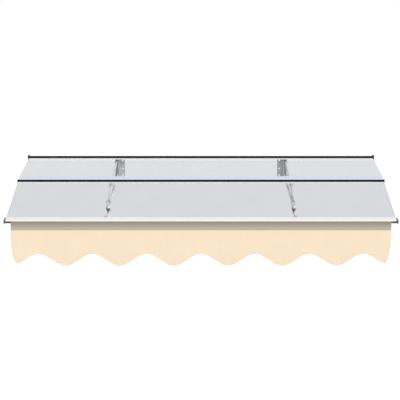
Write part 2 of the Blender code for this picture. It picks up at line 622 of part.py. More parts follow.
def make_cone(side, word):
    """The dark locking cone under the collar, on a stem that passes through the rod's eye."""
    stem_end = REAR_EYE_Z - EYE_THICKNESS / 2 - FIT - PIN_HEAD_HEIGHT
    steps = [(CONE_RADIUS, CONE_TOP), (CONE_RADIUS, CONE_TOP - PIN_HEAD_HEIGHT)]
    steps += [(STEM_RADIUS, CONE_BOTTOM), (STEM_RADIUS, stem_end)]
    turned("lock_cone_" + word, steps, (side * BRACKET_X, BOSS_Y, 0.0), (0, 0, 1), "dark_plastic")


def make_rod(side, word):
    """The thin end rod between the cone's stem and the front rail's lug, with an eye at each end."""
    centre_x = side * BRACKET_X
    start = Vector((centre_x, BOSS_Y, REAR_EYE_Z))
    end = Vector((centre_x, *ROD_END))
    run = end - start
    rod = turned("end_rod_" + word, [(ROD_RADIUS, 0.0), (ROD_RADIUS, run.length)], start, run, "white_paint")
    half = EYE_THICKNESS / 2
    ring = [(EYE_RADIUS, -half), (EYE_RADIUS, half)]
    combine(rod, turned("rear_eye", ring, start, (0, 0, 1)), "UNION")
    combine(rod, turned("front_eye", ring, end, (1, 0, 0)), "UNION")
    bore(rod, STEM_RADIUS + FIT, start, (0, 0, 1), 2 * EYE_THICKNESS)
    bore(rod, PIN_RADIUS + FIT, end, (1, 0, 0), 2 * EYE_THICKNESS)
    shade_round(rod)


def make_lug(side, word, front_rail):
    """The forked lug under the front rail, its pin and its screw."""
    centre_x = side * BRACKET_X
    half = EYE_THICKNESS / 2 + FIT + LUG_CHEEK
    top = LIP_BOTTOM - FIT
    base_front = TRACK_REAR + FIT
    base_rear = base_front + LUG_BASE_LENGTH
    outline = arc(ROD_END, EYE_RADIUS, Vector((0, 1)), -1)
    outline += [(base_rear, top - LUG_BASE), (base_front, top - LUG_BASE), (base_front, top)]
    outline += [(BEAM_REAR + 2 * FIT, top), (BEAM_REAR + 2 * FIT, ROD_END[1])]
    lug = profile("rail_lug_" + word, outline, centre_x - half, centre_x + half, "grey_steel")
    slot = EYE_THICKNESS / 2 + FIT
    low = (centre_x - slot, BEAM_REAR + 2 * FIT + LUG_CHEEK, top - LUG_BASE)
    high = (centre_x + slot, ROD_END_Y + 2 * EYE_RADIUS, ROD_END[1] + 2 * EYE_RADIUS)
    combine(lug, box("slot", low, high), "DIFFERENCE")
    bore(lug, PIN_RADIUS + FIT, (centre_x, *ROD_END), (1, 0, 0), 4 * half)
    shade_round(lug)
    pin("rail_pin_" + word, centre_x, 2 * half, ROD_END, "white_paint")
    seat = (centre_x, (base_front + BEAM_REAR) / 2, top - LUG_BASE - FIT)
    length = LUG_BASE + FIT + FRONT_CHAMBER_WALL
    for target in (lug, front_rail):
        bore(target, SCREW_RADIUS + FIT, seat, (0, 0, 1), 4 * length)
    screw("lug_screw_" + word, seat, (0, 0, 1), length)


def make_saddle(side, word, mid_rail):
    """The hat-shaped saddle between the middle rail and the upper arm, its pin and two screws."""
    base = Vector((side * UPPER_ARM_X, BEND_Y, MID_UNDERSIDE))
    turn = Matrix.Rotation(FRONT_SLOPE, 4, "X")
    arm_top = -(base.z - BEND[1] - ARM_HEIGHT / 2) * math.cos(FRONT_SLOPE) + 2 * FIT
    inner = ARM_WIDTH / 2 + FIT
    outer = inner + SADDLE_CHEEK
    ear = outer + SADDLE_EAR
    plate = -FIT - SADDLE_PLATE
    section = [(-ear, -FIT), (ear, -FIT), (ear, plate), (outer, plate), (outer, -SADDLE_CHEEK_DEPTH)]
    section += [(inner, -SADDLE_CHEEK_DEPTH), (inner, arm_top), (-inner, arm_top)]
    section += [(-inner, -SADDLE_CHEEK_DEPTH), (-outer, -SADDLE_CHEEK_DEPTH), (-outer, plate), (-ear, plate)]
    corners = [(x, -SADDLE_LENGTH / 2, z) for x, z in section]
    builder = extrude_outline(corners, Vector((0, SADDLE_LENGTH, 0)))
    bmesh.ops.transform(builder, matrix=Matrix.Translation(base) @ turn, verts=builder.verts)
    saddle = add_object("mid_saddle_" + word, builder, "white_paint")
    bore(saddle, PIN_RADIUS + FIT, (base.x, *BEND), (1, 0, 0), 4 * outer)
    pin("saddle_pin_" + word, base.x, 2 * outer, BEND, "white_paint")
    up = turn @ Vector((0, 0, 1))
    length = SADDLE_PLATE + FIT + MID_FLANGE
    for index, offset in enumerate((-1, 1), start=1):
        across = offset * (outer + SADDLE_EAR / 2)
        seat = base + Vector((across, 0, 0)) + up * (plate - FIT)
        for target in (saddle, mid_rail):
            bore(target, SCREW_RADIUS + FIT, seat, up, 3 * length)
        screw("saddle_screw_%s_%d" % (word, index), seat, up, length)


def main():
    """Build every piece of the canopy."""
    clear_scene()
    make_sheets()
    make_wall_rail()
    make_gasket("wall_rail_gasket", REAR_BAY, -WALL_RAIL_DEPTH, WALL_GASKET_WIDTH)
    mid_rail = make_mid_rail()
    make_gasket("mid_rail_gasket", FRONT_BAY, -MID_JOINT, MID_GASKET_WIDTH)
    front_rail = make_front_rail()
    make_track()
    make_valance()
    for side, word in ((-1, "left"), (1, "right")):
        make_wall_plate(side, word)
        make_arms(side, word)
        make_knuckle(side, word)
        make_cone(side, word)
        make_rod(side, word)
        make_lug(side, word, front_rail)
        make_saddle(side, word, mid_rail)


main()
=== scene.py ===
"""The finished look of a door canopy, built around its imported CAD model.

X runs along the wall, +Y points into the wall and +Z is up, in metres. Every mesh is made in these
coordinates with its object at the origin, so object coordinates are places on the canopy.
"""
import json
import math

import bmesh
import bpy
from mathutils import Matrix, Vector

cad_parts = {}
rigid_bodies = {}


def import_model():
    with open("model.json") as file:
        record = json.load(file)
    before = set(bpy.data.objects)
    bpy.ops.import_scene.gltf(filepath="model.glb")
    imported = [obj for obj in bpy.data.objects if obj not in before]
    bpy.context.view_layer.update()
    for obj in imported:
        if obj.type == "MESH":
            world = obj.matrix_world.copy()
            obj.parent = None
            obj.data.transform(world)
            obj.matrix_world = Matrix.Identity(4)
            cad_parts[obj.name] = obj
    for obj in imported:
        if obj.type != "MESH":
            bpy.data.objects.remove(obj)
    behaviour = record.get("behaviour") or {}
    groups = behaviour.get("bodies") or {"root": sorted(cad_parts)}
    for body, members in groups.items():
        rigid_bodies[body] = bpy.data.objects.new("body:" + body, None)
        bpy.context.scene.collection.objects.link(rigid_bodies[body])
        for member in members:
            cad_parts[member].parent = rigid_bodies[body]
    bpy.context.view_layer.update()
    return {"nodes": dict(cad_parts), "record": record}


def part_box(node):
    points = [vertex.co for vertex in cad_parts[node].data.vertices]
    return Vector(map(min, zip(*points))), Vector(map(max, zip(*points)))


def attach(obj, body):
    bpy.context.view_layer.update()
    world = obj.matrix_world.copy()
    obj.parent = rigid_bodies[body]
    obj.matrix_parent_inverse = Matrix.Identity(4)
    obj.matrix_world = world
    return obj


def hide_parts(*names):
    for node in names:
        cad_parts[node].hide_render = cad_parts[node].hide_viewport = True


# Camera: focal length and shift in pixels of the square picture, sensor in millimetres
PICTURE = 400
FOCAL = 1238
SENSOR_WIDTH = 36.0
CAMERA_PLACE = (0.0, -7.2, 0.7563)
CAMERA_PITCH = math.radians(8)
CAMERA_SHIFT = (-1.0, 0.45)
CAMERA_REACH = 200.0

# Light: the key comes from the front right, and the world and the floor fill in
KEY_DIRECTION = (0.73, -0.55, 0.41)
KEY_LEVEL = 0.90
KEY_ANGLE = math.radians(36)
WORLD_LEVEL = 0.4
FLOOR_Z = -2.3
FLOOR_RADIUS = 90
FLOOR_SIDES = 96
FLOOR_COLOUR = 0.9
FLOOR_LIFT = 0.34

# Sheets: refractive index, the share of its reflection that a matt coating leaves, the heights between
# which the front sheet's tint turns into the rear sheet's, and the tint of light for what lies below
SHEET_IOR = 1.585
SKIN_SHARE = 0.5
SHEET_STEP = (-0.099, -0.090)
LIT_TINT = (0.985, 0.99, 0.995, 1.0)

# Paler tint of the rear sheet in a band beside the wall rail, and cut edges, whose denser tint comes in as
# the surface turns towards X
MARGIN_WIDTH = 0.013
MARGIN_SOFTNESS = 0.001
MARGIN_TINT = (0.94, 0.94, 0.94)
CUT_EDGE_TINT = (0.50, 0.52, 0.55)
CUT_EDGE_TURN = (0.3, 0.8)

# Woven cloth: pitch of the yarns, and the painted shade under the front rail's lip, a darker tone that the
# heading band takes between two heights
CREAM_YARN = 0.0008
TAUPE_YARN = 0.0009
BAND_PAINTED_SHADE_TONE = (0.32, 0.285, 0.215)
BAND_PAINTED_SHADE_RANGE = (-0.270, -0.236)

# Valance: the cut shape of the cloth, as in the CAD solid
SCALLOPS = 7
SCALLOP_RISE = 0.061
CORNER_WIDTH = 0.034
CORNER_HEIGHT = 0.128
CORNER_EASE = 0.016

# Mesh of the cloth: beyond the share OUTER_COLUMNS of its half width, columns bend with the corner
CLOTH = 0.0009
CLOTH_COLUMNS = 32 * SCALLOPS
CLOTH_ROWS = 40
OUTER_COLUMNS = 0.72
HALVINGS = 40

# Points along the cloth's free edge: each straight side, each round corner and all the scallops
SIDE_STEPS = 12
CORNER_STEPS = 24
SCALLOP_STEPS = 60 * SCALLOPS

# Ripples, full from RIPPLE_DEPTH below the band: two waves, each given by its share, turn by x, first
# angle and turn by z
RIPPLE = 0.0022
RIPPLE_DEPTH = 0.16
RIPPLE_WAVES = ((0.6, 9.1, 0.7, 0.0), (0.4, 21.7, 2.1, 5.0))

# Hem: turned cloth behind the free edge
HEM_WIDTH = 0.009
HEM_CLOTH = 0.0005
HEM_EDGE = 0.0004
HEM_GAP = 0.00005

# Heading band: fullness between its seams, folds at both edges, and faint waves, each given by its
# height, turn by x and first angle
BAND_COLUMNS = 240
BAND_CLEARANCE = 0.0001
BAND_PUFF = 0.00025
BAND_FOLD = 0.0003
BAND_FOLD_DROP = 0.0002
BAND_WAVES = ((0.00006, 37, 0.0), (0.00005, 91, 1.3))

# Bead: its cloth's tail leaves the round sleeve towards the track's slot
BEAD_TAIL = 0.0005
BEAD_STEPS = 24

# Thread: each stitch is a row of rings as (share of its length, lift in radii, size)
STITCH_PITCH = 0.0034
STITCH_LENGTH = 0.0026
STITCH_RADIUS = 0.00022
STITCH_SIDES = 5
STITCH_RINGS = ((0.0, -0.6, 0.5), (0.2, 0.55, 1.0), (0.8, 0.55, 1.0), (1.0, -0.6, 0.5))
STITCH_INSET = 0.0035
SEAM_STEPS = 100
BAND_STITCH_DEPTH = 0.00015
HEM_STITCH_INSET = 0.007
HEM_STITCH_START = 0.003

# Facets and forms of turned pieces
BOLT_FACETS = 36
SCREW_FACETS = 48
KNOB_FACETS = 72
KNOB_FLUTES = 12
FLUTE_DEPTH = 0.085
CROSS_ARM = 0.29

# CAD sizes that the fasteners fit: heads of the pins, shanks of the screws, and the front sheet's slope,
# to which the saddles' screws stand square
PIN_HEAD_HEIGHT = 0.0025
SCREW_SHANK = 0.0018
FRONT_SLOPE = math.radians(16.8)

# Profiles of turned pieces: rings of (radius, distance, form), round where no form is given. The dome of
# a bolt's head reaches from its socket's rim to the washer.
DOME_RIM = 0.0027
DOME_RADIUS = 0.0056
DOME_TOP = 0.0033
DOME_SHARES = (0.25, 0.5, 0.75, 1.0)
WASHER_HEIGHT = 0.001
SOCKET = ((0.0014, 0.0018, "hexagon"), (0.0018, 0.0, "hexagon"), (DOME_RIM, 0.0))
HEAD_WASHER = ((0.0066, -WASHER_HEIGHT), (0.0068, -0.0008), (0.0068, 0.0), (0.0030, 0.0))
NUT_WASHER = ((0.0030, 0.0), (0.0068, 0.0), (0.0068, 0.0008), (0.0066, WASHER_HEIGHT))
NUT = ((0.0053, 0.0), (0.0061, 0.0004, "hexagon"), (0.0061, 0.0028, "hexagon"), (0.0049, 0.0034))
NUT_TIP = ((0.0042, 0.0036), (0.0031, 0.0036), (0.0031, 0.0032))
BOLT_TIP = ((0.0029, 0.0032), (0.0029, 0.0042), (0.0023, 0.0046))
SCREW_RECESS = ((0.0008, 0.0014, "cross"), (0.0019, 0.0, "cross"))
SCREW_HEAD = ((0.0023, 0.0), (0.0030, 0.0002), (0.0035, 0.0006), (0.0038, 0.0012), (0.0038, 0.0021))
SCREW_SEAT = ((0.0036, 0.0022), (SCREW_SHANK, 0.0022))

# Locking cone: a collar, whose radii are added to the cone's own, a fluted grip that tapers to a neck, and
# a stem. Distances start at the cone's top, at TAPER_END below it for the neck, and at its bottom for the
# stem.
KNOB_COLLAR = ((-0.0012, 0.0), (-0.0003, -0.0003), (0.0, -0.0009), (0.0, -0.0023), (-0.0004, -0.0028))
GRIP_INSET = 0.0006
GRIP_TOP = 0.0034
GRIP_LENGTH = 0.0156
GRIP_NECK = 0.0046
GRIP_CURVE = 1.25
GRIP_SHARES = (0.0, 0.25, 0.5, 0.75, 0.9)
TAPER_END = 0.020
KNOB_NECK = ((GRIP_NECK, 0.0006), (0.0036, 0.0))
KNOB_STEM = ((0.0036, 0.0022), (0.0036, 0.0003), (0.0032, 0.0))

# Width of the eased edge on each kind of CAD node, by the start of its name
EASED = {
    "rear_sheet": 0.0004,
    "front_sheet": 0.0004,
    "wall_rail_gasket": 0.0004,
    "wall_rail_cap": 0.0008,
    "wall_rail": 0.0005,
    "mid_rail_gasket": 0.0004,
    "mid_rail_nosing": 0.0006,
    "mid_rail_cap": 0.0006,
    "mid_rail": 0.0003,
    "front_rail_cap": 0.0012,
    "front_rail": 0.0005,
    "valance_track": 0.0003,
    "wall_plate": 0.0004,
    "upper_arm": 0.0006,
    "lower_arm": 0.0006,
    "knuckle": 0.0004,
    "end_rod": 0.0003,
    "rail_lug": 0.0004,
    "mid_saddle": 0.0003,
}
WELD_DISTANCE = 0.00001
EDGE_ANGLE = math.radians(35)


class Finish:
    """A node material around one Principled shader, patterned by object coordinates."""

    def __init__(self, name, colour, roughness, metallic=0.0, specular=0.5):
        self.material = bpy.data.materials.new(name)
        self.material.use_nodes = True
        self.tree = self.material.node_tree
        self.shader = self.tree.nodes["Principled BSDF"]
        self.tone = (*colour, 1.0)
        self.set("Base Color", self.tone)
        self.set("Roughness", roughness)
        self.set("Metallic", metallic)
        self.set("Specular IOR Level", specular)
        self.target = self.shader.inputs["Base Color"]
        self.place = self.node("ShaderNodeTexCoord").outputs["Object"]
        self.normal = None

    def set(self, name, value):
        """Set one of the shader's own values."""
        self.shader.inputs[name].default_value = value

    def node(self, kind, **inputs):
        """Add a node and fill its inputs with values or sockets."""
        made = self.tree.nodes.new(kind)
        for name, value in inputs.items():
            self.feed(made.inputs[name.replace("_", " ")], value)
        return made

    def feed(self, socket, value):
        """Give a socket a value or link another socket to it."""
        if isinstance(value, bpy.types.NodeSocket):
            self.tree.links.new(value, socket)
        else:
            socket.default_value = value

    def math(self, operation, *values):
        """Result of a Math node."""
        made = self.tree.nodes.new("ShaderNodeMath")
        made.operation = operation
        for socket, value in zip(made.inputs, values):
            self.feed(socket, value)
        return made.outputs[0]

    def part(self, vector, letter):
        """One coordinate of a vector."""
        return self.node("ShaderNodeSeparateXYZ", Vector=vector).outputs[letter]

    def axis(self, letter):
        """One object coordinate."""
        return self.part(self.place, letter)

    def noise(self, size, stretch=(1, 1, 1), detail=3.0):
        """Noise with features of the given size in metres, longer where stretch is above 1."""
        scale = tuple(1 / length for length in stretch)
        mapped = self.node("ShaderNodeMapping", Vector=self.place, Scale=scale).outputs[0]
        made = self.node("ShaderNodeTexNoise", Vector=mapped, Scale=1 / size, Detail=detail)
        return made.outputs["Fac"]

    def between(self, factor, low, high, start=0.3, end=0.7):
        """Spread a factor over a range of values."""
        made = self.node("ShaderNodeMapRange", Value=factor)
        for name, value in (("From Min", start), ("From Max", end), ("To Min", low), ("To Max", high)):
            made.inputs[name].default_value = value
        return made.outputs["Result"]

    def blend_colour(self, kind, factor, other):
        """Blend the colour so far with another one, in Blender's mix of that kind."""
        blend = self.tree.nodes.new("ShaderNodeMix")
        blend.data_type = "RGBA"
        blend.blend_type = kind
        inputs = {socket.identifier: socket for socket in blend.inputs}
        self.feed(inputs["Factor_Float"], factor)
        self.feed(inputs["A_Color"], self.tone)
        self.feed(inputs["B_Color"], (*other, 1.0))
        self.tone = next(socket for socket in blend.outputs if socket.identifier == "Result_Color")
        self.feed(self.target, self.tone)

    def mottle(self, factor, depth, start=0.3, end=0.7):
        """Darken the colour by up to depth where factor is high."""
        level = 1 - depth
        self.blend_colour("MULTIPLY", self.between(factor, 0.0, 1.0, start, end), (level, level, level))

    def fade(self, factor, other, start, end):
        """Turn the colour into another one as factor goes from start to end."""
        self.blend_colour("MIX", self.between(factor, 0.0, 1.0, start, end), other)

    def vary_roughness(self, factor, low, high):
        """Let the roughness follow a factor."""
        self.feed(self.shader.inputs["Roughness"], self.between(factor, low, high))

    def relief(self, height, distance, strength=1.0):
        """Add bumps of the given height in metres."""
        bump = self.node("ShaderNodeBump", Height=height, Distance=distance, Strength=strength)
        if self.normal:
            self.feed(bump.inputs["Normal"], self.normal)
        self.normal = bump.outputs["Normal"]
        self.feed(self.shader.inputs["Normal"], self.normal)

    def mix_shaders(self, factor, first, second):
        """A Mix Shader of two shader nodes."""
        mixed = self.tree.nodes.new("ShaderNodeMixShader")
        for socket, value in zip(mixed.inputs, (factor, first.outputs[0], second.outputs[0])):
            self.tree.links.new(value, socket)
        return mixed


def clear_sheet(name, tint, rear_tint):
    """Lightly smoked polycarbonate: a tinted pane whose skin reflects more at a low angle.

    Light that falls on what lies below passes with a paler tint than the eye sees.
    """
    finish = Finish(name, (1.0, 1.0, 1.0), 0.22, metallic=1.0)
    finish.relief(finish.noise(0.2, stretch=(2.5, 1.0, 1.0), detail=1.0), distance=0.00004)
    pane = finish.node("ShaderNodeBsdfTransparent")
    finish.tone = (*tint, 1.0)
    finish.target = pane.inputs["Color"]
    finish.fade(finish.axis("Z"), rear_tint, *SHEET_STEP)
    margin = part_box("wall_rail_gasket")[0].y - MARGIN_WIDTH
    finish.fade(finish.axis("Y"), MARGIN_TINT, margin - MARGIN_SOFTNESS, margin + MARGIN_SOFTNESS)
    facing = finish.node("ShaderNodeNewGeometry").outputs["True Normal"]
    sideways = finish.math("ABSOLUTE", finish.part(facing, "X"))
    finish.fade(sideways, CUT_EDGE_TINT, *CUT_EDGE_TURN)
    finish.mottle(finish.noise(0.12, detail=4.0), depth=0.012)
    skin = finish.node("ShaderNodeFresnel", IOR=SHEET_IOR).outputs[0]
    inside = finish.node("ShaderNodeNewGeometry").outputs["Backfacing"]
    outside = finish.math("MULTIPLY", finish.math("SUBTRACT", 1.0, inside), SKIN_SHARE)
    share = finish.math("MULTIPLY", skin, outside)
    seen = finish.mix_shaders(share, pane, finish.shader)
    lit = finish.node("ShaderNodeBsdfTransparent", Color=LIT_TINT)
    path = finish.node("ShaderNodeLightPath")
    light = finish.math("MAXIMUM", path.outputs["Is Shadow Ray"], path.outputs["Is Diffuse Ray"])
    both = finish.mix_shaders(light, seen, lit)
    finish.feed(finish.tree.nodes["Material Output"].inputs["Surface"], both.outputs[0])


def powder_coat(name, colour, roughness, specular):
    """Baked powder paint with a fine orange-peel skin and a little dust."""
    finish = Finish(name, colour, roughness, specular=specular)
    finish.mottle(finish.noise(0.045, detail=5.0), depth=0.05)
    finish.vary_roughness(finish.noise(0.02), roughness - 0.05, roughness + 0.06)
    finish.relief(finish.noise(0.0012, detail=2.0), distance=0.00001)


def anodised(name, colour):
    """Anodised aluminium with die lines along the extrusion."""
    finish = Finish(name, colour, 0.34, metallic=1.0)
    lines = finish.noise(0.0007, stretch=(1200.0, 1.0, 1.0), detail=1.0)
    finish.mottle(lines, depth=0.04)
    finish.vary_roughness(finish.noise(0.003, stretch=(60.0, 1.0, 1.0)), 0.28, 0.40)
    finish.relief(lines, distance=0.000008)


def zinc_steel(name, colour):
    """Zinc-plated steel: cloudy plating with a fine grain."""
    finish = Finish(name, colour, 0.42, metallic=0.6)
    cloud = finish.noise(0.006, detail=5.0)
    finish.mottle(cloud, depth=0.22)
    finish.mottle(finish.noise(0.03, detail=2.0), depth=0.18, start=0.45, end=0.75)
    finish.vary_roughness(cloud, 0.36, 0.52)
    finish.relief(finish.noise(0.0006), distance=0.000008)


def moulded(name, colour, roughness, cloud):
    """Moulded plastic or rubber with a fine grain and faint clouds of the given depth."""
    finish = Finish(name, colour, roughness, specular=0.35)
    finish.mottle(finish.noise(0.02, detail=4.0), depth=cloud)
    finish.vary_roughness(finish.noise(0.012), roughness - 0.06, roughness + 0.08)
    finish.relief(finish.noise(0.0008, detail=2.0), distance=0.00002)


def woven(name, colour, yarn, painted_shade=None):
    """Plain weave of uneven dyed yarns, which can take a painted shade, as (tone, from, to) by height."""
    finish = Finish(name, colour, 0.85, specular=0.2)
    finish.set("Sheen Weight", 0.05)
    finish.set("Sheen Roughness", 0.5)
    # Painted shade: a darker tone by height where the front rail's lip shades the cloth
    if painted_shade:
        finish.fade(finish.axis("Z"), *painted_shade)
    finish.mottle(finish.noise(0.0011, stretch=(1.0, 1.0, 60.0)), depth=0.05)
    finish.mottle(finish.noise(0.08, detail=4.0), depth=0.025)
    warp = finish.math("SINE", finish.math("MULTIPLY", finish.axis("X"), math.pi / yarn))
    weft = finish.math("SINE", finish.math("MULTIPLY", finish.axis("Z"), math.pi / yarn))
    finish.relief(finish.math("MULTIPLY", warp, weft), distance=0.00006)
    finish.relief(finish.noise(0.0005, detail=2.0), distance=0.00002)
    finish.relief(finish.noise(0.035, stretch=(1.0, 1.0, 1.6), detail=2.0), distance=0.0006)


def make_finishes():
    """One material for each slot of the record."""
    clear_sheet("clear_sheet", tint=(0.808, 0.813, 0.828), rear_tint=(0.827, 0.833, 0.844))
    powder_coat("black_rail", (0.004, 0.0036, 0.0036), roughness=0.6, specular=0.05)
    anodised("silver_rail", (0.66, 0.70, 0.825))
    powder_coat("white_rail", (0.965, 0.94, 0.95), roughness=0.42, specular=0.4)
    moulded("dark_plastic", (0.105, 0.105, 0.106), roughness=0.5, cloud=0.10)
    moulded("grey_rubber", (0.90, 0.90, 0.90), roughness=0.65, cloud=0.03)
    powder_coat("white_paint", (0.965, 0.965, 0.965), roughness=0.38, specular=0.4)
    zinc_steel("grey_steel", (0.67, 0.67, 0.69))
    woven("cream_fabric", (0.955, 0.79, 0.592), CREAM_YARN)
    # The heading band's taupe is a painted shadow of the front rail's lip on the cream cloth, with a
    # darker painted shade at its top
    woven("taupe_fabric", (0.53, 0.485, 0.39), TAUPE_YARN, painted_shade=(BAND_PAINTED_SHADE_TONE, *BAND_PAINTED_SHADE_RANGE))


def add_mesh(name, builder, slot, *replaced, smooth=40):
    """Turn a bmesh into a piece with its slot's finish, in place of the named CAD nodes."""
    bmesh.ops.recalc_face_normals(builder, faces=builder.faces)
    mesh = bpy.data.meshes.new(name)
    builder.to_mesh(mesh)
    builder.free()
    mesh.shade_smooth()
    mesh.set_sharp_from_angle(angle=math.radians(smooth))
    piece = bpy.data.objects.new(name, mesh)
    bpy.context.scene.collection.objects.link(piece)
    mesh.materials.append(bpy.data.materials[slot])
    if replaced:
        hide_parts(*replaced)
    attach(piece, "root")
    return piece


def grid_faces(builder, rows):
    """Fill rows of vertices with faces."""
    for lower, upper in zip(rows, rows[1:]):
        for corner in range(len(lower) - 1):
            builder.faces.new((lower[corner], lower[corner + 1], upper[corner + 1], upper[corner]))


def loft(builder, rings):
    """Join closed rings of vertices into a solid with both ends capped."""
    count = len(rings[0])
    for first, second in zip(rings, rings[1:]):
        for corner in range(count):
            after = (corner + 1) % count
            builder.faces.new((first[corner], first[after], second[after], second[corner]))
    builder.faces.new(rings[0])
    builder.faces.new(rings[-1])


def flatten_faces(piece):
    """Let large faces set the shading normals, so that narrow rims and bevels don't tilt them."""
    normals = piece.modifiers.new("Flat faces", "WEIGHTED_NORMAL")
    normals.keep_sharp = False
    normals.weight = 100


def thicken(piece, thickness):
    """Give a single surface its cloth's thickness on both sides."""
    layer = piece.modifiers.new("Thickness", "SOLIDIFY")
    layer.thickness = thickness
    layer.offset = 0.0
    flatten_faces(piece)


def round_off(node, width):
    """Weld a CAD node's corners and ease its edges."""
    weld = node.modifiers.new("Weld", "WELD")
    weld.merge_threshold = WELD_DISTANCE
    bevel = node.modifiers.new("Eased edges", "BEVEL")
    bevel.width = width
    bevel.segments = 2
    bevel.limit_method = "ANGLE"
    bevel.angle_limit = EDGE_ANGLE
    bevel.use_clamp_overlap = False
    bevel.miter_outer = "MITER_SHARP"
    flatten_faces(node)


class Valance:
    """Shape of the hanging cloth: its cut outline in (x, z) and its gentle ripples in y."""

    def __init__(self):
        low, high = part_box("valance")
        self.half = high.x
        self.top = high.z
        self.lowest = low.z
        self.middle = (low.y + high.y) / 2
        self.pitch = 2 * self.half / SCALLOPS
        self.corner_x = self.half - CORNER_WIDTH
        self.corner_z = self.scallop(self.corner_x) + CORNER_HEIGHT
        self.band_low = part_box("valance_heading")[0].z

    def scallop(self, x):
        """Height of the waved lower edge, which levels out towards the outer corners."""
        ease_start = self.corner_x - CORNER_EASE
        eased = min(max(abs(x) - ease_start, 0.0), CORNER_EASE)
        x = min(abs(x), ease_start) + eased - eased * eased / (2 * CORNER_EASE)
        return self.lowest + SCALLOP_RISE * (1 + math.cos(2 * math.pi * x / self.pitch)) / 2

    def side(self, z):
        """Half the cloth's width at a height, less at its round corners."""
        fall = min(max((self.corner_z - z) / CORNER_HEIGHT, 0.0), 1.0)
        return self.corner_x + CORNER_WIDTH * math.sqrt(1 - fall * fall)

    def column(self, share, z):
        """X of a column of the cloth at a height: the outer columns follow the round corner."""
        outer = max(0.0, (abs(share) - OUTER_COLUMNS) / (1 - OUTER_COLUMNS))
        return share * self.half - math.copysign(outer * outer * (self.half - self.side(z)), share)

    def bottom(self, share):
        """Height at which a column meets the lower edge, found by halving."""
        below = self.lowest
        above = self.lowest + SCALLOP_RISE
        for _ in range(HALVINGS):
            z = (below + above) / 2
            if z < self.scallop(self.column(share, z)):
                below = z
            else:
                above = z
        return (below + above) / 2

    def ripple(self, x, z):
        """Y of the cloth's middle: flat at the stitched band, in soft waves further down."""
        depth = min(max((self.band_low - z) / RIPPLE_DEPTH, 0.0), 1.0)
        wave = 0.0
        for share, across, first, down in RIPPLE_WAVES:
            wave += share * math.sin(x * across + first + z * down)
        return self.middle + RIPPLE * depth * depth * (3 - 2 * depth) * wave

    def edge(self):
        """Points (x, z) along the free edge, from the track's left end round to its right end."""
        sides = []
        for index in range(SIDE_STEPS):
            z = self.band_low + (self.corner_z - self.band_low) * index / SIDE_STEPS
            sides.append((self.half, z))
        for index in range(CORNER_STEPS):
            angle = math.pi / 2 * index / CORNER_STEPS
            x = self.corner_x + CORNER_WIDTH * math.cos(angle)
            sides.append((x, self.corner_z - CORNER_HEIGHT * math.sin(angle)))
        waves = []
        for index in range(SCALLOP_STEPS + 1):
            x = self.corner_x * (2 * index / SCALLOP_STEPS - 1)
            waves.append((x, self.scallop(x)))
        return [(-x, z) for x, z in sides] + waves + sides[::-1]

    def inset(self, distance):
        """The free edge moved inwards over the cloth."""
        points = self.edge()
        moved = []
        for index, (x, z) in enumerate(points):
            before = points[max(index - 1, 0)]
            after = points[min(index + 1, len(points) - 1)]
            along = Vector((after[0] - before[0], after[1] - before[1])).normalized()
            moved.append((x - along.y * distance, z + along.x * distance))
        return moved


def make_valance(shape):
    """The cream cloth: one surface from the track's lip to the scalloped edge."""
    builder = bmesh.new()
    rows = [[] for _ in range(CLOTH_ROWS + 1)]
    for index in range(CLOTH_COLUMNS + 1):
        share = 2 * index / CLOTH_COLUMNS - 1
        low = shape.bottom(share)
        for row in range(CLOTH_ROWS + 1):
            z = shape.top + (low - shape.top) * math.sin(math.pi / 2 * row / CLOTH_ROWS)
            rows[row].append(builder.verts.new((shape.column(share, z), shape.middle, z)))
    grid_faces(builder, rows)
    flat_area = sum(face.calc_area() for face in builder.faces)
    for vertex in builder.verts:
        vertex.co.y = shape.ripple(vertex.co.x, vertex.co.z)
    cloth = add_mesh("valance_cloth", builder, "cream_fabric", "valance")
    thicken(cloth, CLOTH)
    return cloth, flat_area


def make_hem(shape):
    """The turned hem behind the free edge."""
    builder = bmesh.new()
    rows = []
    for distance in (HEM_EDGE, HEM_WIDTH / 2, HEM_WIDTH):
        row = []
        for x, z in shape.inset(distance):
            y = shape.ripple(x, z) + (CLOTH + HEM_CLOTH) / 2 + HEM_GAP
            row.append(builder.verts.new((x, y, z)))
        rows.append(row)
    grid_faces(builder, rows)
    hem = add_mesh("valance_hem", builder, "cream_fabric")
    thicken(hem, HEM_CLOTH)
    return hem


def band_section(low, high):
    """Outline of the heading band as (y, share of its height), from its rear round its front."""
    height = high.z - low.z
    front = low.y + BAND_CLEARANCE + BAND_PUFF
    seam = STITCH_INSET / height
    section = [(high.y, 0.0), (high.y - BAND_FOLD, -BAND_FOLD_DROP / height)]
    section.append((front + BAND_FOLD_DROP, 0.0))
    for share in (0.3 * seam, seam, 0.3, 0.5, 0.7, 1 - seam, 1 - 0.3 * seam):
        full = BAND_PUFF * math.sin(math.pi * share) if seam < share < 1 - seam else 0.0
        section.append((front - full, share))
    section.append((front + BAND_FOLD_DROP, 1.0))
    return section + [(high.y - BAND_FOLD, 1.0), (high.y, 1.0)]


def make_band(shape):
    """The taupe heading band, folded at both edges and a little full between its two seams. Its taupe is a
    painted shadow of the front rail's lip on the cream cloth.
    """
    low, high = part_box("valance_heading")
    section = band_section(low, high)
    builder = bmesh.new()
    rings = []
    for index in range(BAND_COLUMNS + 1):
        x = shape.half * (2 * index / BAND_COLUMNS - 1)
        soft = sum(height * math.sin(across * x + first) for height, across, first in BAND_WAVES)
        ring = []
        for y, share in section:
            ring.append(builder.verts.new((x, y + soft, low.z + (high.z - low.z) * share)))
        rings.append(ring)
    loft(builder, rings)
    return add_mesh("heading_band", builder, "taupe_fabric", "valance_heading", smooth=60)


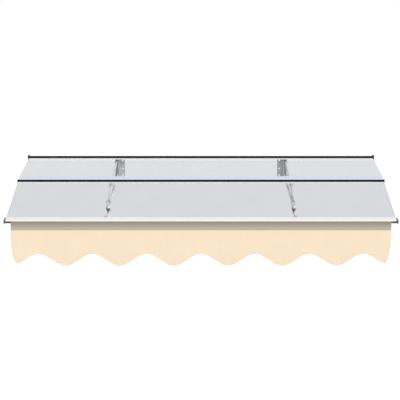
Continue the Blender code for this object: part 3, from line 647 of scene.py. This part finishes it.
def make_bead(shape):
    """The cord in its sleeve inside the track, with the tail that leaves through the slot."""
    low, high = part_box("valance_bead")
    radius = (high.z - low.z) / 2
    centre = Vector((high.y - radius, (low.z + high.z) / 2))
    opening = math.asin(BEAD_TAIL / radius)
    section = []
    for index in range(BEAD_STEPS + 1):
        angle = -math.pi + opening + (2 * math.pi - 2 * opening) * index / BEAD_STEPS
        section.append((centre.x + radius * math.cos(angle), centre.y + radius * math.sin(angle)))
    section += [(low.y, centre.y + BEAD_TAIL), (low.y, centre.y - BEAD_TAIL)]
    builder = bmesh.new()
    face = builder.faces.new([builder.verts.new((-shape.half, y, z)) for y, z in section])
    grown = bmesh.ops.extrude_face_region(builder, geom=[face])
    moved = [part for part in grown["geom"] if isinstance(part, bmesh.types.BMVert)]
    bmesh.ops.translate(builder, vec=(2 * shape.half, 0, 0), verts=moved)
    return add_mesh("bead_sleeve", builder, "cream_fabric", "valance_bead")


def add_stitch(builder, start, end, out):
    """One thread stitch that rises a little between its two holes."""
    along = (end - start).normalized()
    across = along.cross(out).normalized()
    rings = []
    for share, lift, size in STITCH_RINGS:
        middle = start.lerp(end, share) + out * STITCH_RADIUS * lift
        ring = []
        for index in range(STITCH_SIDES):
            angle = 2 * math.pi * index / STITCH_SIDES
            offset = across * math.cos(angle) + out * math.sin(angle)
            ring.append(builder.verts.new(middle + offset * STITCH_RADIUS * size))
        rings.append(ring)
    loft(builder, rings)


def sew(name, slot, paths):
    """Rows of stitches along paths of 3-D points that face the front."""
    builder = bmesh.new()
    out = Vector((0, -1, 0))
    for path in paths:
        walked = 0.0
        target = 0.0
        start = None
        for first, second in zip(path, path[1:]):
            length = (second - first).length
            while target <= walked + length:
                point = first.lerp(second, (target - walked) / length)
                if start is None:
                    start = point
                    target += STITCH_LENGTH
                else:
                    add_stitch(builder, start, point, out)
                    start = None
                    target += STITCH_PITCH - STITCH_LENGTH
            walked += length
    return add_mesh(name, builder, slot)


def make_stitching(shape):
    """Two rows on the heading band and one along the hem."""
    low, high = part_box("valance_heading")
    front = low.y + BAND_STITCH_DEPTH
    left = -shape.half + STITCH_INSET
    width = 2 * (shape.half - STITCH_INSET)
    places = [left + width * step / SEAM_STEPS for step in range(SEAM_STEPS + 1)]
    seams = (low.z + STITCH_INSET, high.z - STITCH_INSET)
    rows = [[Vector((x, front, z)) for x in places] for z in seams]
    band = sew("heading_stitches", "taupe_fabric", rows)
    path = []
    for x, z in shape.inset(HEM_STITCH_INSET):
        if z < shape.band_low - HEM_STITCH_START:
            path.append(Vector((x, shape.ripple(x, z) - CLOTH / 2, z)))
    hem = sew("hem_stitches", "cream_fabric", [path])
    return band, hem


def ring_radius(form, radius, angle):
    """Radius of a ring at an angle: round, a hexagon, a cross recess or a fluted grip."""
    if form == "hexagon":
        sixth = math.pi / 3
        return radius * math.cos(sixth / 2) / math.cos((angle % sixth) - sixth / 2)
    if form == "cross":
        turn = abs((angle + math.pi / 4) % (math.pi / 2) - math.pi / 4)
        arm = CROSS_ARM * radius
        return radius / math.cos(turn) if radius * math.tan(turn) <= arm else arm / math.sin(turn)
    if form == "fluted":
        return radius * (1 - FLUTE_DEPTH * (0.5 + 0.5 * math.cos(KNOB_FLUTES * angle)) ** 2)
    return radius


def placed(base, *profiles):
    """Rings of (radius, distance, form) for profiles whose distances start at base."""
    rings = []
    for profile in profiles:
        for radius, distance, *form in profile:
            rings.append((radius, base + distance, form[0] if form else "round"))
    return rings


def turned(name, steps, centre, axis, facets, slot, *replaced):
    """A piece lofted through rings of (radius, distance, form) along an axis."""
    builder = bmesh.new()
    turn = Vector((0, 0, 1)).rotation_difference(Vector(axis)).to_matrix()
    middle = Vector(centre)
    rings = []
    for radius, distance, form in steps:
        ring = []
        for index in range(facets):
            angle = 2 * math.pi * index / facets
            reach = ring_radius(form, radius, angle)
            point = Vector((reach * math.cos(angle), reach * math.sin(angle), distance))
            ring.append(builder.verts.new(middle + turn @ point))
        rings.append(ring)
    loft(builder, rings)
    return add_mesh(name, builder, slot, *replaced, smooth=32)


def make_bolt(node, side, slot):
    """A button-head bolt with washers and a locking nut through a joint along X."""
    low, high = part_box(node)
    grip = (high.x - low.x) / 2 - PIN_HEAD_HEIGHT
    crown = -grip - DOME_TOP
    dome = []
    for share in DOME_SHARES:
        angle = share * math.pi / 2
        radius = DOME_RIM + (DOME_RADIUS - DOME_RIM) * math.sin(angle)
        dome.append((radius, (DOME_TOP - WASHER_HEIGHT) * (1 - math.cos(angle))))
    steps = placed(crown, SOCKET, dome)
    steps += placed(-grip, HEAD_WASHER)
    steps += placed(grip, NUT_WASHER)
    steps += placed(grip + WASHER_HEIGHT, NUT, NUT_TIP, BOLT_TIP)
    name = node.replace("_pin", "_bolt")
    return turned(name, steps, (low + high) / 2, (side, 0, 0), BOLT_FACETS, slot, node)


def node_points(node):
    """Corners of a CAD node's mesh."""
    return [vertex.co.copy() for vertex in bpy.data.objects[node].data.vertices]


def make_screw(node, axis):
    """A pan-head screw with a cross recess, driven along axis."""
    low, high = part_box(node)
    ahead = Vector(axis).normalized()
    centre = (low + high) / 2
    reach = [ahead.dot(point) for point in node_points(node)]
    first = min(reach) - ahead.dot(centre)
    last = max(reach) - ahead.dot(centre)
    steps = placed(first, SCREW_RECESS, SCREW_HEAD, SCREW_SEAT)
    steps.append((SCREW_SHANK, last, "round"))
    name = node.replace("_screw", "_pan_screw")
    return turned(name, steps, centre, ahead, SCREW_FACETS, "grey_steel", node)


def make_knob(node):
    """The fluted locking cone under the knuckle's collar, with its stem."""
    low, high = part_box(node)
    centre = (low + high) / 2
    radius = (high.x - low.x) / 2
    top = high.z - centre.z
    steps = placed(top, [(radius + added, distance) for added, distance in KNOB_COLLAR])
    for share in GRIP_SHARES:
        size = radius - GRIP_INSET - (radius - GRIP_NECK) * share ** GRIP_CURVE
        steps.append((size, top - GRIP_TOP - GRIP_LENGTH * share, "fluted"))
    steps += placed(top - TAPER_END, KNOB_NECK)
    steps += placed(low.z - centre.z, KNOB_STEM)
    name = node.replace("lock_cone", "lock_knob")
    return turned(name, steps, centre, (0, 0, 1), KNOB_FACETS, "dark_plastic", node)


def make_fasteners(slots):
    """Bolts for the pins, screws for the screws and knobs for the cones."""
    for side, word in ((-1, "left"), (1, "right")):
        for start in ("upper_pivot_pin_", "lower_pivot_pin_", "knuckle_pin_", "saddle_pin_", "rail_pin_"):
            pin = start + word
            make_bolt(pin, side, slots[pin])
        make_screw("wall_cap_screw_" + word, (-side, 0, 0))
        make_screw("front_cap_screw_" + word, (-side, 0, 0))
        make_screw("lug_screw_" + word, (0, 0, 1))
        for number in ("_1", "_2"):
            square = (0, -math.sin(FRONT_SLOPE), math.cos(FRONT_SLOPE))
            make_screw("saddle_screw_" + word + number, square)
        make_knob("lock_cone_" + word)


def dress_frame(nodes, slots):
    """Give every CAD node its slot's finish and ease the edges of those that stay."""
    for name, node in nodes.items():
        material = bpy.data.materials[slots[name]]
        node.data.materials.clear()
        node.data.materials.append(material)
        kind = next((start for start in EASED if name.startswith(start)), None)
        if kind and not node.hide_render:
            round_off(node, EASED[kind])


def make_camera():
    """The camera at the photograph's angle."""
    data = bpy.data.cameras.new("camera")
    data.sensor_width = SENSOR_WIDTH
    data.lens = SENSOR_WIDTH * FOCAL / PICTURE
    data.shift_x = CAMERA_SHIFT[0] / PICTURE
    data.shift_y = CAMERA_SHIFT[1] / PICTURE
    data.clip_end = CAMERA_REACH
    camera = bpy.data.objects.new("camera", data)
    camera.location = CAMERA_PLACE
    camera.rotation_euler = (math.pi / 2 - CAMERA_PITCH, 0.0, 0.0)
    bpy.context.scene.collection.objects.link(camera)
    bpy.context.scene.camera = camera


def background_rays(tree):
    """A factor that is 1 where the background itself is seen, directly, in gloss or through glass."""
    path = tree.nodes.new("ShaderNodeLightPath")
    factor = path.outputs["Is Camera Ray"]
    for name in ("Is Glossy Ray", "Is Transmission Ray"):
        either = tree.nodes.new("ShaderNodeMath")
        either.operation = "MAXIMUM"
        tree.links.new(factor, either.inputs[0])
        tree.links.new(path.outputs[name], either.inputs[1])
        factor = either.outputs[0]
    return factor


def scaled(tree, factor, low, high):
    """Spread a factor from 0 to 1 over a range."""
    spread = tree.nodes.new("ShaderNodeMapRange")
    tree.links.new(factor, spread.inputs["Value"])
    spread.inputs["To Min"].default_value = low
    spread.inputs["To Max"].default_value = high
    return spread.outputs["Result"]


def make_world():
    """A plain world, white where it is seen and softer as a light."""
    world = bpy.data.worlds.new("studio")
    world.use_nodes = True
    tree = world.node_tree
    sky = tree.nodes["Background"]
    sky.inputs["Color"].default_value = (1.0, 1.0, 1.0, 1.0)
    tree.links.new(scaled(tree, background_rays(tree), WORLD_LEVEL, 1.0), sky.inputs["Strength"])
    bpy.context.scene.world = world


def floor_material():
    """Matt white, lifted where it is seen, and clear from below."""
    material = bpy.data.materials.new("pale_floor")
    material.use_nodes = True
    tree = material.node_tree
    tree.nodes.remove(tree.nodes["Principled BSDF"])
    matt = tree.nodes.new("ShaderNodeBsdfDiffuse")
    matt.inputs["Color"].default_value = (FLOOR_COLOUR, FLOOR_COLOUR, FLOOR_COLOUR, 1.0)
    lift = tree.nodes.new("ShaderNodeEmission")
    tree.links.new(scaled(tree, background_rays(tree), 0.0, FLOOR_LIFT), lift.inputs["Strength"])
    both = tree.nodes.new("ShaderNodeAddShader")
    tree.links.new(matt.outputs[0], both.inputs[0])
    tree.links.new(lift.outputs[0], both.inputs[1])
    below = tree.nodes.new("ShaderNodeNewGeometry").outputs["Backfacing"]
    clear = tree.nodes.new("ShaderNodeBsdfTransparent")
    sided = tree.nodes.new("ShaderNodeMixShader")
    tree.links.new(below, sided.inputs[0])
    tree.links.new(both.outputs[0], sided.inputs[1])
    tree.links.new(clear.outputs[0], sided.inputs[2])
    tree.links.new(sided.outputs[0], tree.nodes["Material Output"].inputs["Surface"])
    return material


def make_floor():
    """A pale round floor far below the canopy."""
    builder = bmesh.new()
    bmesh.ops.create_circle(builder, cap_ends=True, radius=FLOOR_RADIUS, segments=FLOOR_SIDES)
    bmesh.ops.translate(builder, vec=(0, 0, FLOOR_Z), verts=builder.verts)
    mesh = bpy.data.meshes.new("floor")
    builder.to_mesh(mesh)
    builder.free()
    mesh.materials.append(floor_material())
    floor = bpy.data.objects.new("floor", mesh)
    bpy.context.scene.collection.objects.link(floor)


def make_key():
    """The soft key light."""
    data = bpy.data.lights.new("key", "SUN")
    data.energy = KEY_LEVEL * math.pi
    data.angle = KEY_ANGLE
    key = bpy.data.objects.new("key", data)
    key.rotation_mode = "QUATERNION"
    key.rotation_quaternion = Vector(KEY_DIRECTION).to_track_quat("Z", "Y")
    bpy.context.scene.collection.objects.link(key)


def main():
    """Dress the frame, hang the valance and light it all."""
    for item in list(bpy.data.objects):
        bpy.data.objects.remove(item, do_unlink=True)
    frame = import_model()
    for plain in list(bpy.data.materials):
        bpy.data.materials.remove(plain)
    bpy.context.scene.view_settings.view_transform = "Standard"
    make_camera()
    make_world()
    make_floor()
    make_key()
    make_finishes()
    shape = Valance()
    cloth, flat_area = make_valance(shape)
    pieces = [make_hem(shape), make_band(shape), make_bead(shape), *make_stitching(shape)]
    slots = {part["node"]: part["material_slot"] for part in frame["record"]["subparts"]}
    make_fasteners(slots)
    dress_frame(frame["nodes"], slots)


main()
